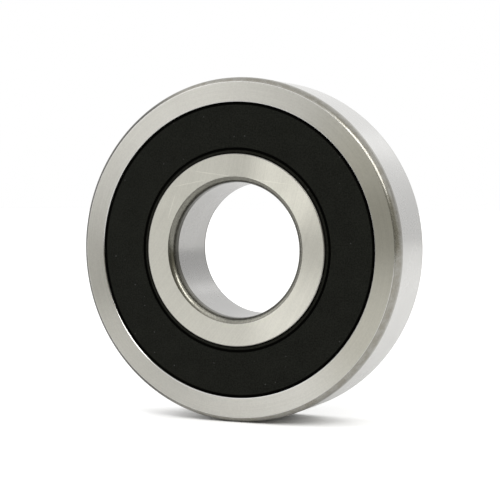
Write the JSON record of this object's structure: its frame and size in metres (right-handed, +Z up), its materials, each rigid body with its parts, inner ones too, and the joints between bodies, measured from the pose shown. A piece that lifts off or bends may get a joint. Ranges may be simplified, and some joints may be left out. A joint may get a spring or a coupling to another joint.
{
  "type": "ball bearing",
  "caption": "Sealed deep groove ball bearing: the steel inner ring turns on caged balls inside the outer ring, behind black rubber seals.",
  "frame": {"origin": "the bearing's centre, on its axis and midway between its faces", "axes": "+Y along the bearing's axis, from the front face to the rear face; +Z up as it stands on its rim; +X to the right seen from the front"},
  "size_m": [0.14, 0.033, 0.14],
  "materials": {
    "ring_steel": "finely ground bearing steel, satin",
    "seal_rubber": "matt moulded nitrile rubber, black",
    "insert_steel": "plain cold-rolled sheet",
    "ball_steel": "lapped to a mirror",
    "cage_steel": "pressed low-carbon sheet, dull",
    "rivet_steel": "cold-headed wire, dull"
  },
  "bodies": {
    "outer_ring_body": {"outer_ring": "ring_steel", "front_seal_rubber": "seal_rubber", "front_seal_insert": "insert_steel", "rear_seal_rubber": "seal_rubber", "rear_seal_insert": "insert_steel"},
    "inner_ring_body": {"inner_ring": "ring_steel"},
    "cage_body": {"cage_front_half": "cage_steel", "cage_rear_half": "cage_steel", "cage_rivet_1": "rivet_steel", "cage_rivet_2": "rivet_steel", "cage_rivet_3": "rivet_steel", "cage_rivet_4": "rivet_steel", "cage_rivet_5": "rivet_steel", "cage_rivet_6": "rivet_steel", "cage_rivet_7": "rivet_steel"},
    "ball_1_body": {"ball_1": "ball_steel"},
    "ball_2_body": {"ball_2": "ball_steel"},
    "ball_3_body": {"ball_3": "ball_steel"},
    "ball_4_body": {"ball_4": "ball_steel"},
    "ball_5_body": {"ball_5": "ball_steel"},
    "ball_6_body": {"ball_6": "ball_steel"},
    "ball_7_body": {"ball_7": "ball_steel"}
  },
  "joints": [
    {"name": "inner_ring_spin", "type": "hinge", "parent": "outer_ring_body", "child": "inner_ring_body", "pos_m": [0, 0, 0], "axis": [0, 1, 0], "continuous": true},
    {"name": "cage_spin", "type": "hinge", "parent": "outer_ring_body", "child": "cage_body", "pos_m": [0, 0, 0], "axis": [0, 1, 0], "continuous": true},
    {"name": "ball_1_spin", "type": "hinge", "parent": "cage_body", "child": "ball_1_body", "pos_m": [0, 0, 0.04875], "axis": [0, 1, 0], "continuous": true},
    {"name": "ball_2_spin", "type": "hinge", "parent": "cage_body", "child": "ball_2_body", "pos_m": [0.03811, 0, 0.0304], "axis": [0, 1, 0], "continuous": true},
    {"name": "ball_3_spin", "type": "hinge", "parent": "cage_body", "child": "ball_3_body", "pos_m": [0.04753, 0, -0.01085], "axis": [0, 1, 0], "continuous": true},
    {"name": "ball_4_spin", "type": "hinge", "parent": "cage_body", "child": "ball_4_body", "pos_m": [0.02115, 0, -0.04392], "axis": [0, 1, 0], "continuous": true},
    {"name": "ball_5_spin", "type": "hinge", "parent": "cage_body", "child": "ball_5_body", "pos_m": [-0.02115, 0, -0.04392], "axis": [0, 1, 0], "continuous": true},
    {"name": "ball_6_spin", "type": "hinge", "parent": "cage_body", "child": "ball_6_body", "pos_m": [-0.04753, 0, -0.01085], "axis": [0, 1, 0], "continuous": true},
    {"name": "ball_7_spin", "type": "hinge", "parent": "cage_body", "child": "ball_7_body", "pos_m": [-0.03811, 0, 0.0304], "axis": [0, 1, 0], "continuous": true}
  ],
  "couplings": [
    {"joint": "cage_spin", "follows": "inner_ring_spin", "ratio": 0.37789},
    {"joint": "ball_1_spin", "follows": "inner_ring_spin", "ratio": -1.9252},
    {"joint": "ball_2_spin", "follows": "inner_ring_spin", "ratio": -1.9252},
    {"joint": "ball_3_spin", "follows": "inner_ring_spin", "ratio": -1.9252},
    {"joint": "ball_4_spin", "follows": "inner_ring_spin", "ratio": -1.9252},
    {"joint": "ball_5_spin", "follows": "inner_ring_spin", "ratio": -1.9252},
    {"joint": "ball_6_spin", "follows": "inner_ring_spin", "ratio": -1.9252},
    {"joint": "ball_7_spin", "follows": "inner_ring_spin", "ratio": -1.9252}
  ]
}
